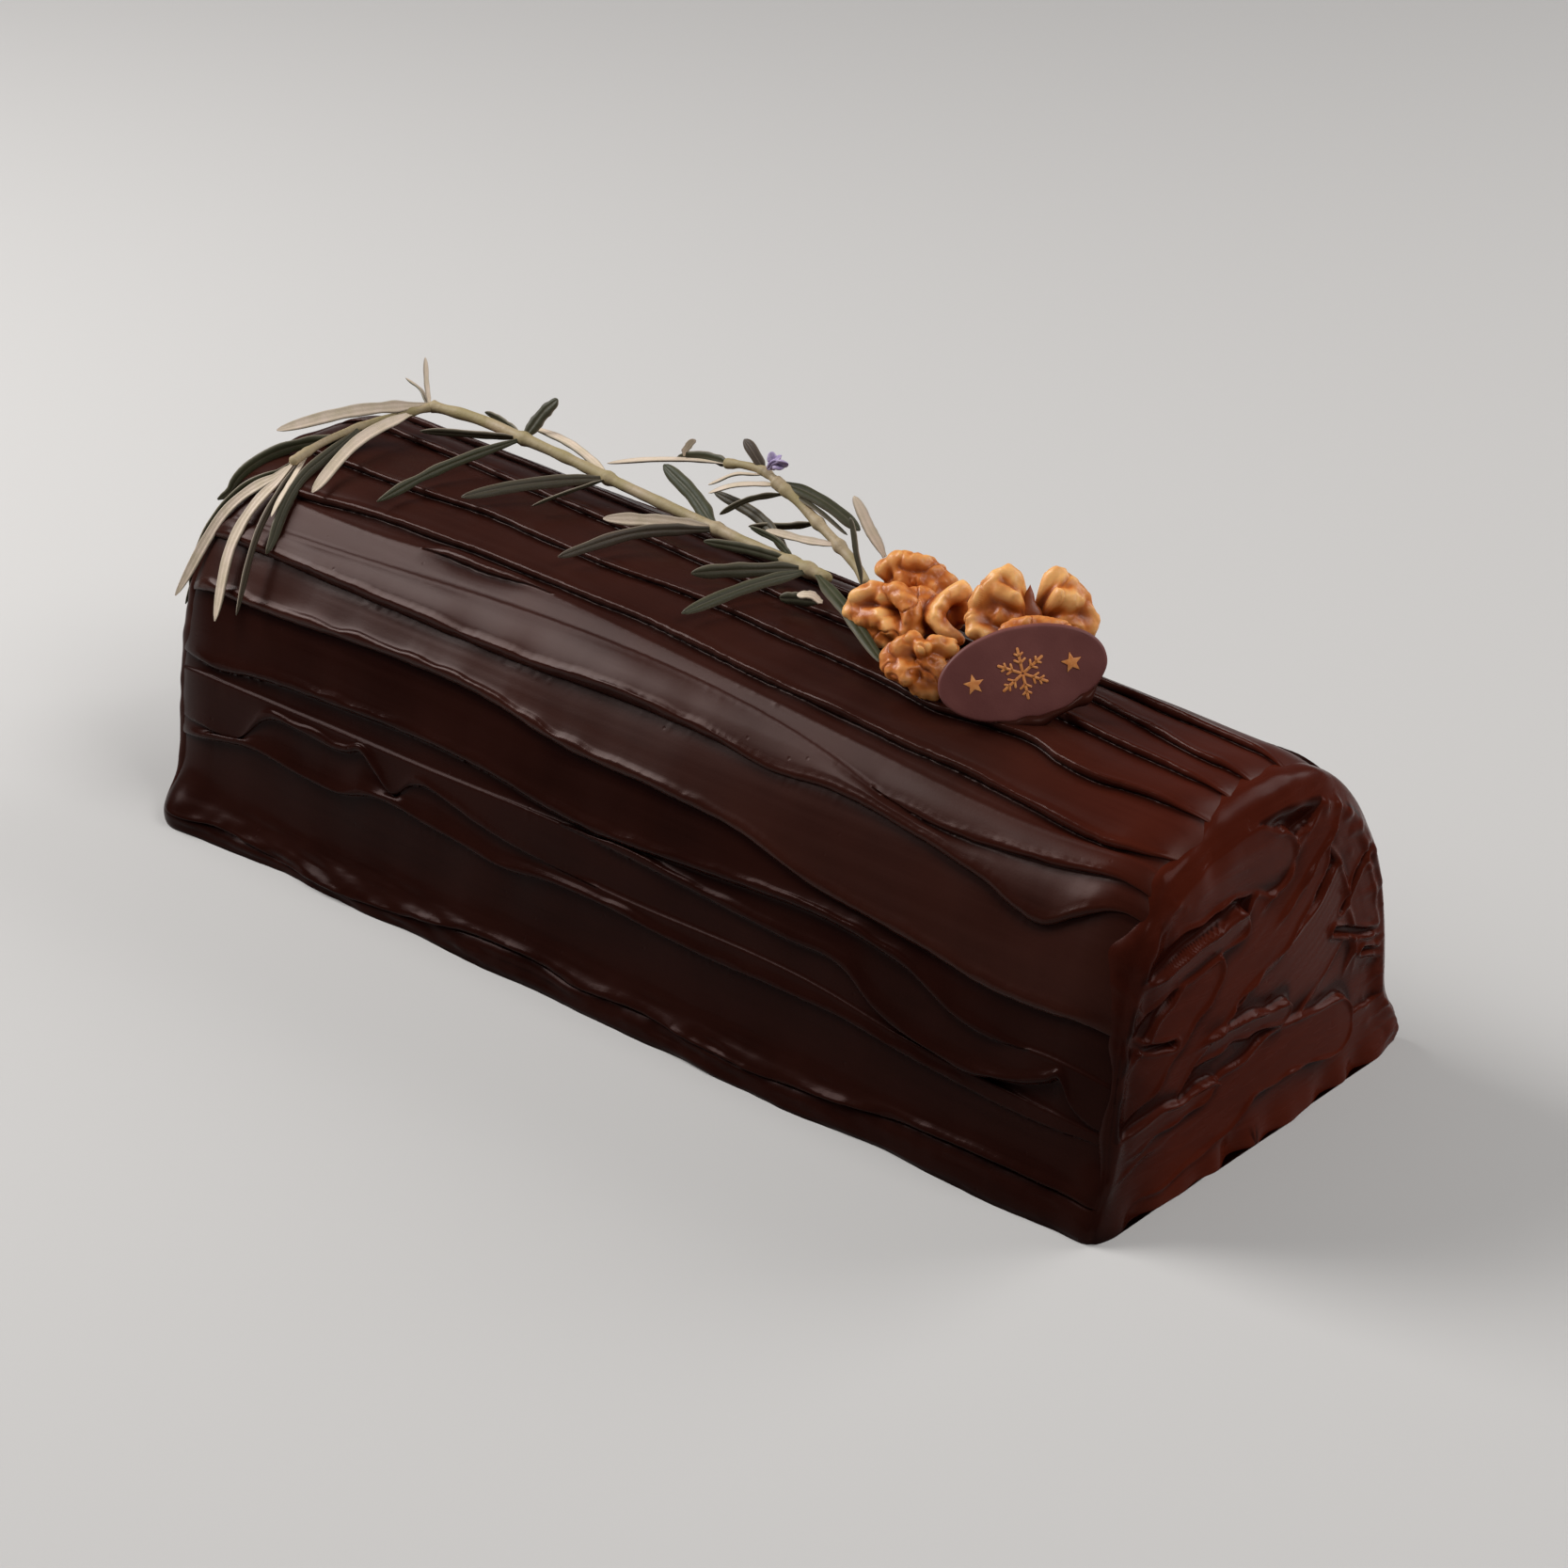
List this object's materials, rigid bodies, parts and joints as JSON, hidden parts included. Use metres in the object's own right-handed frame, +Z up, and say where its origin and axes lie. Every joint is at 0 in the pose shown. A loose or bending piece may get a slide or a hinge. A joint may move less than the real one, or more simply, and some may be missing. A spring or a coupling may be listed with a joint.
{
  "type": "yule log cake",
  "caption": "Long chocolate cake log coated in ganache in palette-knife strokes, with walnut kernels, an oval chocolate plaque and rosemary sprigs on top.",
  "frame": {"origin": "middle of the flat underside, on the surface that the cake stands on", "axes": "+Z up, +X along the log towards its near plastered end, -Y towards the long side that faces the eater"},
  "size_m": [0.2908, 0.1115, 0.1104],
  "materials": {
    "ganache": "satin chocolate ganache, streaked by the knife",
    "plaque": "smooth matte chocolate",
    "walnut": "glazed, wrinkled nut kernel",
    "rosemary": "fresh herb leaf, pale below"
  },
  "bodies": {
    "root": {"cake_log": "ganache", "plaque": "plaque", "walnut_left": "walnut", "walnut_top": "walnut", "walnut_front": "walnut", "walnut_right": "walnut", "walnut_low": "walnut", "rosemary_long": "rosemary", "rosemary_short": "rosemary"}
  },
  "joints": []
}
